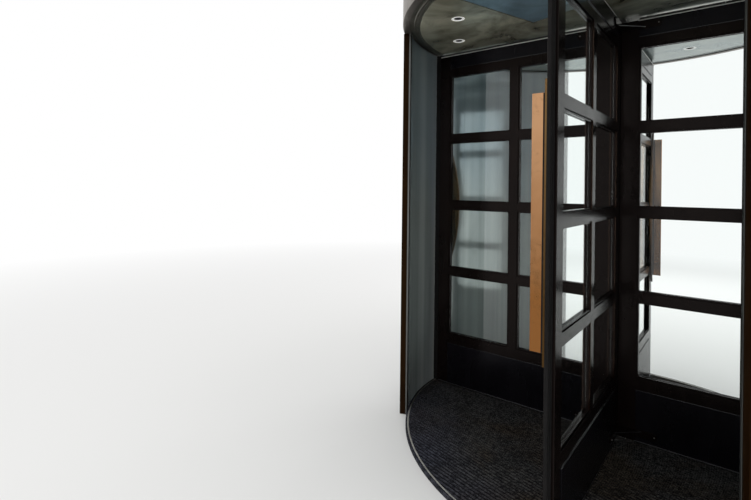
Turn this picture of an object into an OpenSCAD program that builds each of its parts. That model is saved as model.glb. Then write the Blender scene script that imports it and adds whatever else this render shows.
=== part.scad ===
// Manual four-wing revolving door: two curved drum walls, a closed canopy and a glazed rotor.
// The origin is on the rotor's axis at ground level. -Y faces the lobby, +Y the street.

/* [Drum] */
// Inner radius of the curved walls
drum_r = 1118; // [1050:1:1250]
// Thickness of the curved walls and of the canopy's ring
wall_t = 38; // [30:1:60]
// Half angle of each curved wall, posts included
wall_half_deg = 44.3; // [42:0.1:48]
// Length of a post, measured round the drum
post_arc = 52; // [40:1:90]
// How far a post stands out behind the wall
post_proud = 4; // [2:1:12]
// Radial width of the metal strip at the inner corner of a post
trim_w = 9; // [6:1:16]
// Thickness of that strip
trim_t = 3; // [2:0.5:5]

/* [Floor] */
// Thickness of the mat and of the ring round it
floor_t = 20; // [12:1:26]
// Width of the metal ring round the mat
ring_w = 8; // [6:1:20]
// Strip of mat left between the ring and the walls
ring_in = 10; // [4:1:20]
// Radius of the floor bearing's cover
pivot_r = 58; // [45:1:80]
// Height of the floor bearing above the mat
pivot_rise = 7; // [4:1:8]

/* [Canopy] */
// Clear height from the mat to the soffit
passage_h = 2232; // [2000:1:2500]
// Height of the canopy above the soffit
canopy_h = 248; // [180:1:400]
// Thickness of the soffit sheet and its backing
soffit_t = 12; // [8:1:20]
// Width of the stepped rim between the soffit and the walls
rim_w = 58; // [45:1:90]
// Width of the rim's outer, recessed band
rim_band_w = 24; // [12:1:36]
// Depth of that recess
rim_recess = 6; // [3:0.5:10]
// Height of the rim section
rim_h = 30; // [24:1:50]
// How far the rim's ledge reaches over the soffit's edge
rim_lap = 20; // [12:1:40]
// Thickness of the dust cover on the canopy
cover_t = 6; // [3:1:12]
// Half width of the access hatch in the soffit
hatch_half_w = 275; // [200:5:350]
// Distance from the soffit's edge to the far edge of the hatch
hatch_edge = 150; // [100:5:200]
// Length of the hatch, away from the axis
hatch_l = 560; // [400:5:600]
// Joint left round the hatch
hatch_gap = 3; // [2:0.5:6]
// Width of the hatch's flange on top of the soffit
hatch_lap = 14; // [8:1:25]
// Radius of the ring of downlights
lamp_ring_r = 865; // [700:5:920]
// Outer radius of a downlight's face
lamp_r = 36; // [25:1:50]
// Radius of the dark well in the middle of a downlight
lamp_well_r = 17; // [10:1:20]

/* [Rotor] */
// Angle of the first wing from +X when the door is at rest
rest_deg = 16.9; // [0:0.1:45]
// Side of the square centre shaft, and thickness of the wings that butt against it
leaf_t = 40; // [32:1:55]
// Gap between the edge wipers and the curved walls
tip_gap = 6; // [5:1:12]
// How far an edge wiper reaches out of the wing
wiper_reach = 34; // [20:1:60]
// Thickness of an edge wiper where it leaves the wing
wiper_t = 20; // [14:1:24]
// Thickness of its thinner tip
wiper_tip_t = 12; // [6:1:14]
// Gap between the mat or soffit and the brushes
brush_gap = 5; // [5:0.5:10]
// Free height of the bottom brush
foot_brush_h = 8; // [6:1:30]
// Free height of the top brush
head_brush_h = 17; // [8:1:30]
// Distance from the floor bearing's cover to the inner ends of the brushes
brush_from = 42; // [6:1:60]
// Thickness of the top and bottom brushes
brush_t = 14; // [8:1:20]
// Depth of the grooves that hold the brushes and wipers
groove_d = 7; // [4:1:12]
// Radius of the pins at the ends of the centre shaft
pin_r = 15; // [10:1:18]
// Radius of the collars that the pins stand on
collar_r = 24; // [20:1:30]
// Length of the pin in the head bearing
head_pin_l = 52; // [35:1:70]

/* [Wings] */
// Width of the stile beside the centre shaft
inner_stile_w = 84; // [60:1:110]
// Width of the stile at the free edge
outer_stile_w = 78; // [50:1:110]
// Width of the glazing bar between the two columns of panes
mullion_w = 50; // [30:1:70]
// Width of the inner column of panes
inner_pane_w = 430; // [350:5:460]
// Height of the bottom rail
bottom_rail_h = 329; // [250:1:450]
// Height of the top rail
top_rail_h = 138; // [100:2:200]
// Height of the three horizontal glazing bars
bar_h = 48; // [30:1:70]
// Plain strip of rail left between the glass and the kick plate
kick_band = 62; // [30:1:80]
// Plain strip of rail left between the glass and the head plate
head_band = 50; // [30:1:80]
// Thickness of the kick and head plates
plate_t = 4; // [2:0.5:8]
// Thickness of the glass
glass_t = 8; // [6:0.5:10]
// Width of the glazing beads
bead_w = 9; // [6:0.5:14]
// How far the beads are set back from the faces of the wing
bead_set = 5; // [3:0.5:8]

/* [Handles] */
// Length of the crescent plate, from tip to tip
crescent_l = 1060; // [700:10:1150]
// Greatest width of the crescent plate
crescent_w = 128; // [85:1:150]
// Thickness of the crescent plate
crescent_t = 8; // [5:0.5:12]
// Length of the straight grip blade
blade_l = 960; // [600:10:1050]
// How far the blade stands out from the crescent plate
blade_d = 44; // [30:1:60]
// Depth of the narrow neck between the plate and the blade
neck_d = 6; // [3:1:12]
// Thickness of that neck
neck_t = 3.5; // [2:0.5:4.5]
// Thickness of the blade
blade_t = 7; // [5:0.5:10]
// Radius of the rounded nose on the blade's free edge
nose_r = 4.5; // [3.5:0.25:6]
// How far the middle of the handle is below the middle of the glass
handle_drop = 8; // [0:1:60]
// Distance from the wing's metal edge to the straight edge of the crescent plate
handle_inset = 4; // [2:1:12]

/* [Corner brackets] */
// Height of a bracket's legs
bracket_h = 40; // [28:1:60]
// Thickness of a bracket's legs
bracket_t = 6; // [4:0.5:10]
// Reach of a leg along the wing, from the axis to the end of its round
bracket_reach = 205; // [150:1:260]
// Reach of the flat web between the two legs
web_reach = 140; // [110:1:160]
// How far the web is set in from the level edge of the legs
web_set = 5; // [1:1:12]
// Height of the lower bracket above the mat
bracket_rise = 41; // [20:1:100]
// Distance from the soffit down to the upper bracket
bracket_drop = 33; // [26:1:80]

/* [Hidden] */
$fn = 96;

seat = 0.3;          // clearance between pieces that are seated on each other
turn = 0.08;         // radial clearance of the pins in their bearings
bearing_wall = 18;   // how much wider the bearings are than the shaft's collars
flange_w = 30;       // width of the upper bearing's flange on the soffit
flange_t = 8;        // thickness of that flange
pin_spare = 6;       // how far the upper bearing reaches past its pin
hatch_flange_t = 4;  // thickness of the hatch's flange
over = 1;            // how far a cutter runs past the face it cuts

// Heights, from the ground up
mat_top = floor_t;
pivot_top = mat_top + pivot_rise;
leaf_z0 = mat_top + brush_gap + foot_brush_h;
soffit_z = mat_top + passage_h;
leaf_z1 = soffit_z - brush_gap - head_brush_h;
canopy_z1 = soffit_z + canopy_h;

// Radii, from the axis out
outer_r = drum_r + wall_t;
pan_r = drum_r - rim_w;
tip_r = drum_r - tip_gap;
leaf_r = tip_r - wiper_reach;
half_t = leaf_t / 2;
ring_r1 = drum_r - ring_in;
ring_r0 = ring_r1 - ring_w;
brush_r0 = pivot_r + brush_from;
brush_l = leaf_r - brush_r0 - groove_d - over;
glass_r0 = half_t + inner_stile_w;
glass_r1 = leaf_r - outer_stile_w;
post_deg = post_arc / drum_r * 180 / PI;
seat_deg = seat / drum_r * 180 / PI;

// Panes: two columns and four rows
rows = 4;
glass_z0 = leaf_z0 + bottom_rail_h;
glass_z1 = leaf_z1 - top_rail_h;
pane_h = (glass_z1 - glass_z0 - (rows - 1) * bar_h) / rows;
outer_pane_w = glass_r1 - glass_r0 - inner_pane_w - mullion_w;
pane_cols = [[glass_r0, inner_pane_w], [glass_r0 + inner_pane_w + mullion_w, outer_pane_w]];
handle_z = (glass_z0 + glass_z1) / 2 - handle_drop;

wing_angles = [for (k = [0 : 3]) rest_deg + 90 * k];

// The downlights keep clear of the hatch, so the ring isn't quite even.
lamp_angles = [0, 31, 57, 90, 123, 149, 180, 211, 237, 303, 329];

bronze = [0.13, 0.11, 0.10];
satin = [0.33, 0.37, 0.40];

// A stretch of a ring about the axis, from a0 to a1 degrees
module arc_block(r0, r1, a0, a1, z0, z1) {
    rotate([0, 0, a0])
        rotate_extrude(angle = a1 - a0)
            translate([r0, z0])
                square([r1 - r0, z1 - z0]);
}

// A plain tube about the axis
module tube(r0, r1, z0, z1) {
    translate([0, 0, z0])
        difference() {
            cylinder(r = r1, h = z1 - z0);
            translate([0, 0, -over])
                cylinder(r = r0, h = z1 - z0 + 2 * over);
        }
}

// Floor

module floor_ring() {
    color("silver")
        tube(ring_r0, ring_r1, 0, floor_t);
}

// The mat inside the ring, and a strip of it between the ring and the walls
module entrance_mat() {
    color([0.10, 0.11, 0.13]) {
        tube(pivot_r + seat, ring_r0 - seat, 0, mat_top);
        tube(ring_r1 + seat, drum_r - seat, 0, mat_top);
    }
}

module floor_pivot() {
    color("dimgray")
        difference() {
            cylinder(r = pivot_r, h = pivot_top);
            translate([0, 0, floor_t / 3])
                cylinder(r = pin_r + turn, h = pivot_top);
        }
}

// Curved walls, each of two panels between two posts

module wall_panel(from_deg, to_deg) {
    color(satin)
        arc_block(drum_r, outer_r, from_deg, to_deg, 0, soffit_z);
}

module left_lobby_panel() wall_panel(180 + seat_deg, 180 + wall_half_deg - post_deg - seat_deg);
module left_street_panel() wall_panel(180 - wall_half_deg + post_deg + seat_deg, 180);
module right_lobby_panel() wall_panel(post_deg + seat_deg - wall_half_deg, 0);
module right_street_panel() wall_panel(seat_deg, wall_half_deg - post_deg - seat_deg);

module post(from_deg) {
    color([0.20, 0.13, 0.09])
        arc_block(drum_r, outer_r + post_proud, from_deg, from_deg + post_deg, 0, soffit_z);
}

module left_lobby_post() post(180 + wall_half_deg - post_deg);
module left_street_post() post(180 - wall_half_deg);
module right_lobby_post() post(-wall_half_deg);
module right_street_post() post(wall_half_deg - post_deg);

// A strip on the end face of each post, at its inner corner
module jamb_trims() {
    from_deg = wall_half_deg + seat_deg;
    to_deg = from_deg + trim_t / drum_r * 180 / PI;
    color("gainsboro")
        for (side = [0, 180]) {
            arc_block(drum_r, drum_r + trim_w, side + from_deg, side + to_deg, 0, soffit_z);
            arc_block(drum_r, drum_r + trim_w, side - to_deg, side - from_deg, 0, soffit_z);
        }
}

// Canopy

bearing_r = collar_r + bearing_wall;
hatch_near = pan_r - hatch_edge - hatch_l;

module soffit_pan() {
    color([0.30, 0.30, 0.28])
        difference() {
            tube(bearing_r + seat, pan_r, soffit_z, soffit_z + soffit_t);
            for (a = lamp_angles)
                rotate([0, 0, a])
                    translate([lamp_ring_r, 0, soffit_z - over])
                        cylinder(r = lamp_r + seat, h = soffit_t + 2 * over);
            translate([-hatch_half_w, -hatch_near - hatch_l, soffit_z - over])
                cube([2 * hatch_half_w, hatch_l, soffit_t + 2 * over]);
        }
}

// The rim's ledge lies on the soffit's edge, and its outer band is set up into the canopy.
module soffit_rim() {
    r_wall = drum_r - seat;
    color([0.22, 0.21, 0.19])
        rotate_extrude()
            translate([0, soffit_z])
                polygon([
                    [pan_r + over, 0],
                    [drum_r - rim_band_w, 0],
                    [drum_r - rim_band_w, rim_recess],
                    [r_wall, rim_recess],
                    [r_wall, rim_h],
                    [pan_r - rim_lap, rim_h],
                    [pan_r - rim_lap, soffit_t],
                    [pan_r + over, soffit_t]
                ]);
}

module soffit_hatch() {
    color([0.26, 0.30, 0.33]) {
        translate([hatch_gap - hatch_half_w, hatch_gap - hatch_near - hatch_l, soffit_z])
            cube([2 * (hatch_half_w - hatch_gap), hatch_l - 2 * hatch_gap, soffit_t + over]);
        translate([-hatch_half_w - hatch_lap, -hatch_near - hatch_l - hatch_lap, soffit_z + soffit_t])
            cube([2 * (hatch_half_w + hatch_lap), hatch_l + 2 * hatch_lap, hatch_flange_t]);
    }
}

// Flush white rings with a dark well, each hung by a flange on top of the soffit
module downlights() {
    flange = 6;
    can_h = 40;
    color("white")
        for (a = lamp_angles)
            rotate([0, 0, a])
                translate([lamp_ring_r, 0, soffit_z])
                    difference() {
                        union() {
                            cylinder(r = lamp_r, h = can_h);
                            translate([0, 0, soffit_t + seat])
                                cylinder(r = lamp_r + flange, h = flange);
                        }
                        translate([0, 0, -over])
                            cylinder(r = lamp_well_r, h = can_h * 3 / 4);
                    }
}

module head_bearing() {
    collar_top = leaf_z1 + (soffit_z - leaf_z1) / 2;
    z0 = collar_top + seat;
    z1 = collar_top + head_pin_l + pin_spare;
    color("dimgray") {
        tube(pin_r + turn, bearing_r, z0, z1);
        tube(bearing_r - over, bearing_r + flange_w, soffit_z + soffit_t, soffit_z + soffit_t + flange_t);
    }
}

module fascia(from_deg) {
    color([0.36, 0.34, 0.32])
        arc_block(drum_r, outer_r, from_deg, from_deg + 180, soffit_z, canopy_z1 - cover_t);
}

module lobby_fascia() fascia(180);
module street_fascia() fascia(0);

module canopy_top() {
    color([0.30, 0.30, 0.30])
        translate([0, 0, canopy_z1 - cover_t])
            cylinder(r = outer_r, h = cover_t);
}

// Rotor

module centre_shaft() {
    collar_top = leaf_z1 + (soffit_z - leaf_z1) / 2;
    color(bronze)
        rotate([0, 0, rest_deg]) {
            translate([-half_t, -half_t, leaf_z0])
                cube([leaf_t, leaf_t, leaf_z1 - leaf_z0]);
            translate([0, 0, pivot_top + seat])
                cylinder(r = collar_r, h = leaf_z0 - pivot_top - seat);
            translate([0, 0, leaf_z1])
                cylinder(r = collar_r, h = collar_top - leaf_z1);
            translate([0, 0, floor_t / 3 + seat])
                cylinder(r = pin_r, h = leaf_z0);
            translate([0, 0, leaf_z1 - over])
                cylinder(r = pin_r, h = collar_top - leaf_z1 + over + head_pin_l);
        }
}

// One leg lies on the plates of wing k and the other on those of wing k + 1. A flat web joins
// them, and pads under the legs reach the stiles, which are lower than the plates.
module bracket(web_z) {
    pad = glass_r0 - half_t - over;
    leg_l = bracket_reach - bracket_h / 2;
    leg_y = half_t + plate_t;
    for (side = [0, 1])
        mirror([side, -side, 0]) {
            translate([0, leg_y + bracket_t, 0])
                rotate([90, 0, 0])
                    linear_extrude(bracket_t) {
                        translate([leg_y, 0])
                            square([leg_l - leg_y, bracket_h]);
                        translate([leg_l, bracket_h / 2])
                            circle(d = bracket_h);
                    }
            translate([half_t, half_t, 0])
                cube([pad, plate_t + bracket_t / 2, bracket_h]);
        }
    translate([0, 0, web_z])
        linear_extrude(bracket_t)
            polygon([
                [leg_y, leg_y],
                [web_reach, leg_y],
                [leg_y, web_reach]
            ]);
}

module brackets(z0, web_z) {
    color(bronze)
        for (a = wing_angles)
            rotate([0, 0, a])
                translate([0, 0, z0])
                    bracket(web_z);
}

module top_brackets() brackets(soffit_z - bracket_drop - bracket_h, web_set);
module bottom_brackets() brackets(mat_top + bracket_rise, bracket_h - bracket_t - web_set);

module edge_wipers() {
    color([0.04, 0.04, 0.04])
        for (a = wing_angles)
            rotate([0, 0, a]) {
                translate([leaf_r - groove_d, seat - wiper_t / 2, leaf_z0])
                    cube([groove_d + over, wiper_t - 2 * seat, leaf_z1 - leaf_z0]);
                translate([leaf_r, -wiper_t / 2, mat_top + brush_gap])
                    cube([wiper_reach / 3, wiper_t, passage_h - 2 * brush_gap]);
                translate([leaf_r, -wiper_tip_t / 2, mat_top + brush_gap])
                    cube([wiper_reach, wiper_tip_t, passage_h - 2 * brush_gap]);
            }
}

module brush_sweeps() {
    color("gray")
        for (a = wing_angles)
            rotate([0, 0, a]) {
                translate([brush_r0, -brush_t / 2, mat_top + brush_gap])
                    cube([brush_l, brush_t, foot_brush_h + groove_d]);
                translate([brush_r0, -brush_t / 2, leaf_z1 - groove_d])
                    cube([brush_l, brush_t, head_brush_h + groove_d]);
            }
}

// The cutters for one pane: a rebate in each face, the sight opening and the groove for the glass
module pane_cut(x, w, z) {
    for (side = [-1, 1])
        translate([x, side * half_t - (side > 0 ? bead_set : over), z])
            cube([w, bead_set + over, pane_h]);
    translate([x + bead_w, -half_t - over, z + bead_w])
        cube([w - 2 * bead_w, leaf_t + 2 * over, pane_h - 2 * bead_w]);
    translate([x, -glass_t / 2 - seat, z])
        cube([w, glass_t + 2 * seat, pane_h]);
}

module wing_frame() {
    chamfer = 1.5;
    color(bronze)
        difference() {
            translate([0, 0, leaf_z0])
                linear_extrude(leaf_z1 - leaf_z0)
                    polygon([
                        [half_t, half_t - chamfer],
                        [half_t, chamfer - half_t],
                        [half_t + chamfer, -half_t],
                        [leaf_r - chamfer, -half_t],
                        [leaf_r, chamfer - half_t],
                        [leaf_r, half_t - chamfer],
                        [leaf_r - chamfer, half_t],
                        [half_t + chamfer, half_t]
                    ]);
            for (col = pane_cols, row = [0 : rows - 1])
                pane_cut(col[0], col[1], glass_z0 + row * (pane_h + bar_h));
            translate([leaf_r - groove_d, -wiper_t / 2, leaf_z0 - over])
                cube([groove_d + over, wiper_t, leaf_z1 - leaf_z0 + 2 * over]);
            translate([brush_r0 - seat, -brush_t / 2 - seat, leaf_z0 - over])
                cube([brush_l + 2 * seat, brush_t + 2 * seat, groove_d + over]);
            translate([brush_r0 - seat, -brush_t / 2 - seat, leaf_z1 - groove_d])
                cube([brush_l + 2 * seat, brush_t + 2 * seat, groove_d + over]);
        }
}

module wing_glass() {
    color([0.75, 0.85, 0.85, 0.4])
        for (col = pane_cols, row = [0 : rows - 1])
            translate([col[0] + seat, -glass_t / 2, glass_z0 + row * (pane_h + bar_h) + seat])
                cube([col[1] - 2 * seat, glass_t, pane_h - 2 * seat]);
}

// Kick and head plates on both faces, between the stiles
module wing_plates() {
    w = glass_r1 - glass_r0 - 2 * seat;
    kick_z1 = glass_z0 - kick_band;
    head_z0 = glass_z1 + head_band;
    color(bronze)
        for (y = [-half_t - plate_t, half_t]) {
            translate([glass_r0 + seat, y, leaf_z0])
                cube([w, plate_t, kick_z1 - leaf_z0]);
            translate([glass_r0 + seat, y, head_z0])
                cube([w, plate_t, leaf_z1 - head_z0]);
        }
}

// A crescent plate flat on the wing, with its straight edge along the outer stile, and a
// straight blade that stands out from it on a narrow neck as the grip
module wing_handle() {
    arc_r = (pow(crescent_l / 2, 2) + pow(crescent_w, 2)) / (2 * crescent_w);
    edge_x = leaf_r - handle_inset;
    blade_y = -half_t - crescent_t - blade_d;
    blade_in = blade_t / 2 + 2;
    color([0.72, 0.48, 0.30])
        translate([edge_x, 0, handle_z]) {
            translate([0, -half_t, 0])
                rotate([90, 0, 0])
                    linear_extrude(crescent_t)
                        intersection() {
                            translate([arc_r - crescent_w, 0])
                                circle(r = arc_r, $fn = 360);
                            translate([-crescent_w - over, -crescent_l / 2])
                                square([crescent_w + over, crescent_l]);
                        }
            translate([-blade_in - blade_t / 2, blade_y, -blade_l / 2])
                cube([blade_t, blade_d - neck_d, blade_l]);
            translate([-blade_in - neck_t / 2, blade_y + over, -blade_l / 2])
                cube([neck_t, blade_d, blade_l]);
            translate([-blade_in, blade_y, -blade_l / 2])
                cylinder(r = nose_r, h = blade_l);
        }
}

module wing_1_frame() rotate([0, 0, wing_angles[0]]) wing_frame();
module wing_2_frame() rotate([0, 0, wing_angles[1]]) wing_frame();
module wing_3_frame() rotate([0, 0, wing_angles[2]]) wing_frame();
module wing_4_frame() rotate([0, 0, wing_angles[3]]) wing_frame();

module wing_1_glass() rotate([0, 0, wing_angles[0]]) wing_glass();
module wing_2_glass() rotate([0, 0, wing_angles[1]]) wing_glass();
module wing_3_glass() rotate([0, 0, wing_angles[2]]) wing_glass();
module wing_4_glass() rotate([0, 0, wing_angles[3]]) wing_glass();

module wing_1_plates() rotate([0, 0, wing_angles[0]]) wing_plates();
module wing_2_plates() rotate([0, 0, wing_angles[1]]) wing_plates();
module wing_3_plates() rotate([0, 0, wing_angles[2]]) wing_plates();
module wing_4_plates() rotate([0, 0, wing_angles[3]]) wing_plates();

module wing_1_handle() rotate([0, 0, wing_angles[0]]) wing_handle();
module wing_2_handle() rotate([0, 0, wing_angles[1]]) wing_handle();
module wing_3_handle() rotate([0, 0, wing_angles[2]]) wing_handle();
module wing_4_handle() rotate([0, 0, wing_angles[3]]) wing_handle();

floor_ring();
entrance_mat();
floor_pivot();
left_lobby_panel();
left_street_panel();
right_lobby_panel();
right_street_panel();
left_lobby_post();
left_street_post();
right_lobby_post();
right_street_post();
jamb_trims();
soffit_pan();
soffit_rim();
soffit_hatch();
downlights();
head_bearing();
lobby_fascia();
street_fascia();
canopy_top();
centre_shaft();
top_brackets();
bottom_brackets();
edge_wipers();
brush_sweeps();
wing_1_frame();
wing_1_glass();
wing_1_plates();
wing_1_handle();
wing_2_frame();
wing_2_glass();
wing_2_plates();
wing_2_handle();
wing_3_frame();
wing_3_glass();
wing_3_plates();
wing_3_handle();
wing_4_frame();
wing_4_glass();
wing_4_plates();
wing_4_handle();
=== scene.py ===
import math
import random

import bmesh
import bpy
from mathutils import Matrix, Vector


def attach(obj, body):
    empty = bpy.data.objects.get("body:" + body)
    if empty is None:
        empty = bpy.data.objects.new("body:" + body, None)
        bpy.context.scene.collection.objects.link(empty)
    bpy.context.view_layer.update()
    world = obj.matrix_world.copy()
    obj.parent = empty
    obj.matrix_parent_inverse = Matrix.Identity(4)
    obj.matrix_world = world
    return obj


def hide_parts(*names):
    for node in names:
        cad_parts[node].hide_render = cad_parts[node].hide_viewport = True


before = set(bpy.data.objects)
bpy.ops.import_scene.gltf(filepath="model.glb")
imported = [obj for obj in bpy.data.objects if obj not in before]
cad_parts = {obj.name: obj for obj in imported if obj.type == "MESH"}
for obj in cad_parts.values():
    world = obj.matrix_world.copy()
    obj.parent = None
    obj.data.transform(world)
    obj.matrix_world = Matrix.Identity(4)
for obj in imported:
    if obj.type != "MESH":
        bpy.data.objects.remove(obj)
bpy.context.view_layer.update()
dice = random.Random(11)
print("frame:", len(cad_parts), "CAD nodes")


# Shader maths

class Wire:  # an output socket that takes plain arithmetic
    def __init__(self, finish, socket):
        self.finish = finish
        self.socket = socket

    def calc(self, operation, *values):
        return self.finish.node("ShaderNodeMath", {"operation": operation}, dict(enumerate(values)))

    def __add__(self, other):
        return self.calc("ADD", self, other)

    def __sub__(self, other):
        return self.calc("SUBTRACT", self, other)

    def __mul__(self, other):
        return self.calc("MULTIPLY", self, other)

    def __truediv__(self, other):
        return self.calc("DIVIDE", self, other)


class Finish:  # one material
    def __init__(self, name):
        self.material = bpy.data.materials.new(name)
        self.material.use_nodes = True
        self.tree = self.material.node_tree
        self.tree.nodes.clear()
        self.place = self.node("ShaderNodeTexCoord", out="Object")

    def node(self, kind, settings=None, values=None, out=0):
        made = self.tree.nodes.new(kind)
        for key, setting in (settings or {}).items():
            setattr(made, key, setting)
        for key, value in (values or {}).items():
            if isinstance(value, Wire):
                self.tree.links.new(value.socket, made.inputs[key])
            else:
                made.inputs[key].default_value = value
        return Wire(self, made.outputs[out])

    def stretched(self, x, y, z):  # a place for noise that runs longer where its number is small
        return self.node("ShaderNodeMapping", values={"Vector": self.place, "Scale": (x, y, z)})

    def noise(self, scale, detail, place=None, warp=0.0):
        return self.node("ShaderNodeTexNoise", values={
            "Vector": place or self.place, "Scale": scale, "Detail": detail,
            "Roughness": 0.55, "Distortion": warp})

    def mask(self, value, low, high):  # 0 below low, 1 above high
        return self.node("ShaderNodeMapRange", {"clamp": True}, {
            "Value": value, "From Min": low, "From Max": high})

    def mix(self, factor, a, b):
        tones = [(*t, 1) if isinstance(t, tuple) else t for t in (a, b)]
        return self.node("ShaderNodeMix", {"data_type": "RGBA"}, {
            0: factor, 6: tones[0], 7: tones[1]}, out=2)

    def axis(self, number):  # 0, 1 and 2 for x, y and z
        return self.node("ShaderNodeSeparateXYZ", values={"Vector": self.place}, out=number)

    def bump(self, height, distance, strength, under=None):
        values = {"Height": height, "Distance": distance, "Strength": strength}
        if under:
            values["Normal"] = under
        return self.node("ShaderNodeBump", values=values)

    def path(self, *kinds):  # 1 for rays of any of these kinds
        rays = [self.node("ShaderNodeLightPath", out=f"Is {kind} Ray") for kind in kinds]
        found = rays[0]
        for ray in rays[1:]:
            found = found.calc("MAXIMUM", found, ray)
        return found

    def principled(self, **values):
        names = {"colour": "Base Color", "roughness": "Roughness", "metallic": "Metallic",
                 "normal": "Normal", "transmission": "Transmission Weight", "ior": "IOR",
                 "specular": "Specular IOR Level", "tint": "Specular Tint",
                 "glow": "Emission Color", "glowPower": "Emission Strength"}
        sockets = {names[k]: (*v, 1) if isinstance(v, tuple) else v for k, v in values.items()}
        return self.node("ShaderNodeBsdfPrincipled", values=sockets)

    def blend(self, factor, first, second):  # mixes two shaders
        return self.node("ShaderNodeMixShader", values={0: factor, 1: first, 2: second})

    def show(self, shader):
        output = self.tree.nodes.new("ShaderNodeOutputMaterial")
        self.tree.links.new(shader.socket, output.inputs["Surface"])
        return self.material

    def close(self, **values):
        return self.show(self.principled(**values))


# Finishes

def agedBronze(name, dark, light, worn, gloss, shine, sheen, wear=0.4):
    f = Finish(name)  # lacquered: shine is how strongly it mirrors, sheen tints what it mirrors
    cloud = f.noise(1.9, 5, warp=0.5)
    runs = f.noise(7, 4, f.stretched(3, 3, 0.4))
    fine = f.noise(170, 3)
    tone = f.mix(f.mask(cloud * 0.75 + runs * 0.25, 0.36, 0.66), dark, light)
    rubbed = f.mask(f.noise(14, 8, warp=1.2), 0.62, 0.82)
    tone = f.mix(rubbed * wear, tone, worn)
    smear = f.noise(21, 5, f.stretched(1, 1, 0.35), warp=0.9)
    rough = f.mask(smear * 0.6 + cloud * 0.4, 0.25, 0.8) * 0.14 + gloss
    peel = f.noise(420, 2)
    normal = f.bump(peel * 0.7 + fine * 0.3, 0.00035, 0.10)
    return f.close(colour=tone, roughness=rough, normal=normal, specular=shine, tint=sheen)


def satinSheet(name, dark, light, gloss, blotch, metal=0.9):  # brushed and a little dented
    f = Finish(name)
    cloud = f.noise(1.7, 7, f.stretched(1, 1, 0.6), warp=1.0)
    stain = f.noise(6.5, 6, f.stretched(1, 1, 0.45), warp=0.7)
    grain = f.noise(60, 4, f.stretched(6, 6, 0.12))
    tone = f.mix(f.mask(cloud * 0.55 + stain * 0.45, 0.33, 0.68), dark, light)
    tone = f.mix(f.mask(stain, 0.56, 0.74) * blotch, tone, tuple(c * 0.6 for c in dark))
    rough = f.mask(stain * 0.5 + grain * 0.5, 0.3, 0.75) * 0.16 + gloss
    dent = f.noise(3.1, 3, f.stretched(1, 1, 0.5))
    normal = f.bump(grain, 0.0001, 0.15, under=f.bump(dent, 0.010, 0.30))
    return f.close(colour=tone, roughness=rough, metallic=metal, normal=normal)


def wallSheet(name, dark, light, skyReflection, gloss, metal):  # smooth, with broad soft upright stripes, and bluer above: a painted sky reflection
    f = Finish(name)
    stripe = f.noise(2.4, 3, f.stretched(3, 3, 0.05), warp=0.3)
    cloud = f.noise(1.6, 5, f.stretched(1, 1, 0.7), warp=0.8)
    tone = f.mix(f.mask(stripe * 0.7 + cloud * 0.3, 0.36, 0.64), dark, light)
    # painted reflection: the upper part turns bluer, like a mirrored sky
    high = f.mask(f.axis(2) + f.noise(1.9, 3, f.stretched(2, 2, 0.3)) * 1.2, 1.75, 2.25)
    tone = f.mix(high * 0.45, tone, skyReflection)
    wipe = f.noise(11, 4, f.stretched(1, 1, 0.3), warp=0.6)
    rough = f.mask(wipe * 0.6 + stripe * 0.4, 0.3, 0.75) * 0.10 + gloss
    dent = f.noise(2.3, 2, f.stretched(1, 1, 0.4))
    return f.close(colour=tone, roughness=rough, metallic=metal, normal=f.bump(dent, 0.004, 0.2))


def ringSheet(name, dark, light, wallShade, gloss, wallsFrom):  # painted shade where it runs along the curved walls
    f = Finish(name)
    stain = f.noise(8, 6, warp=0.7)
    x = f.axis(0)
    side = x.calc("ABSOLUTE", x) + stain * 0.04
    tone = f.mix(f.mask(stain, 0.35, 0.65), dark, light)
    # painted shade: the ring turns dark where it runs behind the curved walls
    tone = f.mix(f.mask(side, wallsFrom + 0.02, wallsFrom + 0.08), tone, wallShade)
    scuff = f.noise(120, 4, warp=0.4)
    return f.close(colour=tone, roughness=f.mask(scuff, 0.3, 0.7) * 0.2 + gloss, metallic=0.6,
                   normal=f.bump(scuff, 0.0002, 0.2))


def patinaSheet(name, dark, light, spot, daylightTint, gloss, metal):  # big soft clouds, and bluer towards the street: painted daylight
    f = Finish(name)
    cloud = f.noise(2.4, 4, warp=1.2)
    patch = f.noise(4.6, 3, warp=0.7)
    tone = f.mix(f.mask(cloud * 0.6 + patch * 0.4, 0.38, 0.58), dark, light)
    tone = f.mix(f.mask(patch, 0.50, 0.72) * 0.7, tone, spot)
    # painted daylight: bluer on the street side
    tone = f.mix(f.mask(f.axis(1) + cloud * 0.5, 0.0, 0.6) * 0.6, tone, daylightTint)
    rough = f.mask(cloud, 0.35, 0.7) * 0.08 + gloss
    return f.close(colour=tone, roughness=rough, metallic=metal, normal=f.bump(cloud, 0.003, 0.10))


def copperPolish(name, low, high, brown, gloss):  # darker and warmer below, lighter above: a painted reflection
    f = Finish(name)
    cloud = f.noise(3.2, 6, warp=0.8)
    spots = f.noise(33, 6, warp=0.4)
    # painted reflection: lighter towards the top
    tone = f.mix(f.mask(f.axis(2) + cloud * 0.5, 1.25, 1.80), low, high)
    tarnish = f.mask(spots * 0.5 + cloud * 0.5, 0.52, 0.70)
    tone = f.mix(tarnish * 0.6, tone, brown)
    hair = f.noise(90, 3, f.stretched(5, 5, 0.08))
    rough = f.mask(hair, 0.3, 0.8) * 0.10 + tarnish * 0.16 + gloss
    normal = f.bump(hair, 0.00015, 0.2)
    return f.close(colour=tone, roughness=rough, metallic=1.0, normal=normal)


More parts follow.
